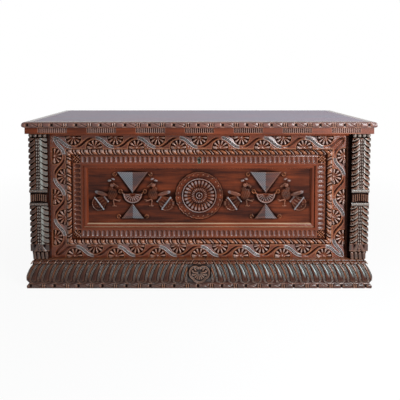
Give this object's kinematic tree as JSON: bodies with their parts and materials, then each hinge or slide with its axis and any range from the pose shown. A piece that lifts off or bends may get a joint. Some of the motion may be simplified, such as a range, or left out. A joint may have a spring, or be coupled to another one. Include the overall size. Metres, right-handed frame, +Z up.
{
  "type": "cassone chest",
  "caption": "Long low chest with a carved walnut front of nested mitred frames, carved corner posts, gadrooned plinth, fluted cornice and hinged lid.",
  "frame": {"origin": "on the floor, under the centre of the chest's length and depth", "axes": "+X to the chest's right as seen from the front, the front faces -Y, +Z up"},
  "size_m": [1.5, 0.55, 0.72],
  "materials": {
    "carved_walnut": "dark red-brown walnut, hand carved, waxed and polished on the high parts, near black in the hollows",
    "lid_walnut": "planed walnut boards with an old worn polish",
    "side_walnut": "plain planed walnut, waxed",
    "bare_walnut": "unpolished old boards, dry and dusty brown",
    "iron": "forged iron, dark and slightly rusted",
    "keyhole_metal": "worn steel lining with a bright edge"
  },
  "bodies": {
    "carcase": {"back_board_lower": "bare_walnut", "back_board_upper": "bare_walnut", "base_moulding_front": "carved_walnut", "base_moulding_left": "carved_walnut", "base_moulding_right": "carved_walnut", "bed_moulding": "carved_walnut", "carved_panel": "carved_walnut", "corner_post_left": "carved_walnut", "corner_post_right": "carved_walnut", "cornice_fascia_front": "carved_walnut", "cornice_fascia_left": "carved_walnut", "cornice_fascia_right": "carved_walnut", "floor_bearers": "bare_walnut", "floor_boards": "bare_walnut", "fluted_frieze_bottom": "carved_walnut", "fluted_frieze_left": "carved_walnut", "fluted_frieze_right": "carved_walnut", "fluted_frieze_top": "carved_walnut", "gadroon_torus_front": "carved_walnut", "gadroon_torus_left": "carved_walnut", "gadroon_torus_right": "carved_walnut", "hinge_carcase_leaves": "iron", "hinge_nails": "iron", "hinge_pins": "iron", "keyhole_escutcheon": "keyhole_metal", "leaf_moulding_front": "carved_walnut", "leaf_moulding_left": "carved_walnut", "leaf_moulding_right": "carved_walnut", "lock_case": "iron", "panel_moulding_bottom": "carved_walnut", "panel_moulding_left": "carved_walnut", "panel_moulding_right": "carved_walnut", "panel_moulding_top": "carved_walnut", "plinth_back": "bare_walnut", "rear_post_left": "side_walnut", "rear_post_right": "side_walnut", "rope_moulding_bottom": "carved_walnut", "rope_moulding_left": "carved_walnut", "rope_moulding_right": "carved_walnut", "rope_moulding_top": "carved_walnut", "side_board_left": "side_walnut", "side_board_right": "side_walnut", "wave_rail_bottom": "carved_walnut", "wave_rail_top": "carved_walnut", "wave_stile_left": "carved_walnut", "wave_stile_right": "carved_walnut"},
    "lid": {"lid_board_front": "lid_walnut", "lid_board_rear": "lid_walnut", "lid_edge_front": "carved_walnut", "lid_edge_left": "carved_walnut", "lid_edge_right": "carved_walnut", "lid_battens": "bare_walnut", "hinge_lid_leaves": "iron", "lid_staple": "iron", "lid_nails": "iron"},
    "lock_bolt": {"lock_bolt": "iron"}
  },
  "joints": [
    {"name": "lid_hinge", "type": "hinge", "parent": "carcase", "child": "lid", "pos_m": [0, 0.2583, 0.697], "axis": [-1, 0, 0], "range_deg": [0, 100]},
    {"name": "bolt_slide", "type": "slide", "parent": "carcase", "child": "lock_bolt", "axis": [-1, 0, 0], "range_m": [0, 0.018]}
  ]
}
